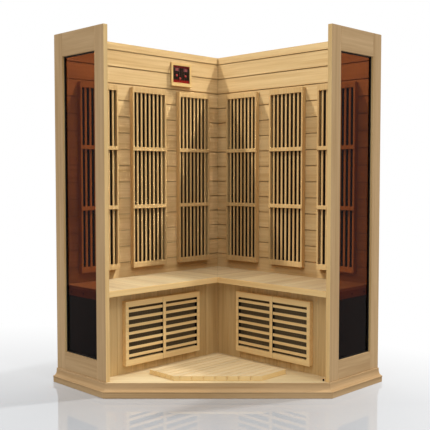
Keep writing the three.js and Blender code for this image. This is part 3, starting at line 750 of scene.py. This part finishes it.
def seen_directly(surface):
    """One where a camera, glossy or transmitted ray looks, and nought where the light is gathered."""
    path = surface.node("ShaderNodeLightPath")
    seen = surface.math("ADD", path.outputs["Is Camera Ray"], path.outputs["Is Glossy Ray"])
    return surface.math("ADD", seen, path.outputs["Is Transmission Ray"], clamp=True)


def studio_floor():
    mesh = bpy.data.meshes.new("studio_floor")
    corners = [(FLOOR_HALF * x, FLOOR_HALF * y, -FLOOR_DROP) for x, y in rectangle(2, 2)]
    mesh.from_pydata(corners, [], [(0, 1, 2, 3)])
    floor = bpy.data.objects.new("studio_floor", mesh)
    bpy.context.scene.collection.objects.link(floor)
    made = Surface("studio_floor")
    place = made.place()
    cloud = made.noise(place, FLOOR_CLOUD, detail=2)
    made.set(Base_Color=made.mix(cloud, *FLOOR_TONES), Roughness=0.005, Specular_IOR_Level=0.9)
    distance = made.node("ShaderNodeVectorMath", {0: place}, operation="LENGTH").outputs["Value"]
    back = made.spread(made.part(place, 1), *FADE_BACK)
    # Painted light: the right of the floor is lifted towards white, brighter as if more lamp light fell
    # there
    right = made.spread(made.part(place, 0), *RIGHT_PAINTED_LIGHT_SPAN, 0.0, RIGHT_PAINTED_LIGHT_SHARE)
    beside = made.math("ADD", made.spread(distance, *FADE_DISTANCE), right)
    far = made.math("ADD", beside, back, clamp=True)
    fade = made.math("MULTIPLY", far, seen_directly(made))
    white = made.node("ShaderNodeEmission", {"Color": WHITE, "Strength": 1.0}).outputs[0]
    blend = made.node("ShaderNodeMixShader", {0: fade, 1: made.shader.outputs[0], 2: white})
    made.put(made.tree.nodes["Material Output"].inputs[0], blend.outputs[0])
    mesh.materials.append(made.material)


def studio_world():
    """A soft sky, brightest overhead, in front of a white background."""
    world = bpy.data.worlds.new("studio")
    bpy.context.scene.world = world
    made = Surface("studio", world)
    height = made.part(made.node("ShaderNodeTexCoord").outputs["Generated"], 2)
    sky = made.spread(height, 0.0, 1.0, HORIZON, ZENITH)
    seen = seen_directly(made)
    gathered = made.math("MULTIPLY", sky, made.math("SUBTRACT", 1.0, seen))
    background = made.tree.nodes["Background"]
    made.put(background.inputs["Color"], WHITE)
    made.put(background.inputs["Strength"], made.math("ADD", gathered, seen))


def sun(name, travel, strength, angle):
    """A lamp that lights surfaces, but isn't mirrored in them."""
    data = bpy.data.lights.new(name, "SUN")
    data.energy = strength
    data.angle = angle
    lamp = bpy.data.objects.new(name, data)
    lamp.rotation_euler = travel.to_track_quat("-Z", "Y").to_euler()
    lamp.visible_glossy = False
    bpy.context.scene.collection.objects.link(lamp)
    return lamp


def lit_group(name, nodes, state):
    """A group of solids that a lamp is kept to, or kept off."""
    group = bpy.data.collections.new(name)
    for node in nodes:
        group.objects.link(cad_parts[node])
    for member in group.collection_objects:
        member.light_linking.link_state = state
    return group


def studio_light():
    """Two high lamps behind the walls, each with a second one for the wall opposite alone, and two in
    front that each face one wall squarely."""
    walls = {side: [f"{side}_wall_lining"] for side in SIDES}
    for side in SIDES:
        walls[side] += [f"{side}_heater_{number}_grille" for number in HEATERS]
    walls["left"] += ["control_bezel", "control_faceplate"]
    rest = lit_group("all_but_walls", walls["left"] + walls["right"], "EXCLUDE")
    for side, across, hand in (("left", "right", 1), ("right", "left", -1)):
        turn = Vector((hand, 1, 1))
        key = sun(f"{side}_key", KEY_TRAVEL * turn, KEY_STRENGTH[side], KEY_ANGLE)
        key.light_linking.receiver_collection = rest
        wall = sun(f"{side}_wall_key", WALL_TRAVEL * turn, WALL_STRENGTH[side], KEY_ANGLE)
        wall.light_linking.receiver_collection = lit_group(f"{across}_wall", walls[across], "INCLUDE")
        level = HALF_ROOT * math.cos(FRONT_RISE[side])
        travel = Vector((hand * level, level, -math.sin(FRONT_RISE[side])))
        sun(f"{side}_front", travel, FRONT_STRENGTH[side], FRONT_ANGLE)


def camera():
    data = bpy.data.cameras.new("camera")
    data.lens = LENS
    data.sensor_width = SENSOR
    data.shift_x = CAMERA_SHIFT
    eye = bpy.data.objects.new("camera", data)
    eye.location = CAMERA_PLACE
    eye.rotation_euler = (math.pi / 2 + CAMERA_PITCH, 0, 0)
    bpy.context.scene.collection.objects.link(eye)
    bpy.context.scene.camera = eye


finishes = {
    "glass": bronze_glass(),
    "rubber": matt_black("black_rubber", srgb(12, 11, 10), srgb(22, 21, 19)),
    "board": matt_black("black_board", srgb(16, 15, 14), srgb(28, 27, 25)),
    "steel": steel(srgb(172, 174, 178), srgb(206, 207, 209)),
    "dark_steel": steel(srgb(44, 40, 36), srgb(66, 60, 54)),
    "button": gloss_plastic("button_red", srgb(196, 62, 58), srgb(222, 96, 88), roughness=0.25),
    "lens": gloss_plastic("smoked_lens", srgb(92, 56, 60), srgb(116, 76, 80), roughness=0.12),
    "digit": gloss_plastic("digit_red", srgb(226, 96, 92), srgb(240, 128, 120), roughness=0.3,
                           glow=0.25),
}
dress_cabin(finishes)
screws(finishes)
front_peg(finishes)
bay_dividers(finishes)
corner_seal(finishes)
displays(finishes)
studio_floor()
studio_world()
studio_light()
camera()
bpy.context.scene.view_settings.view_transform = "Standard"
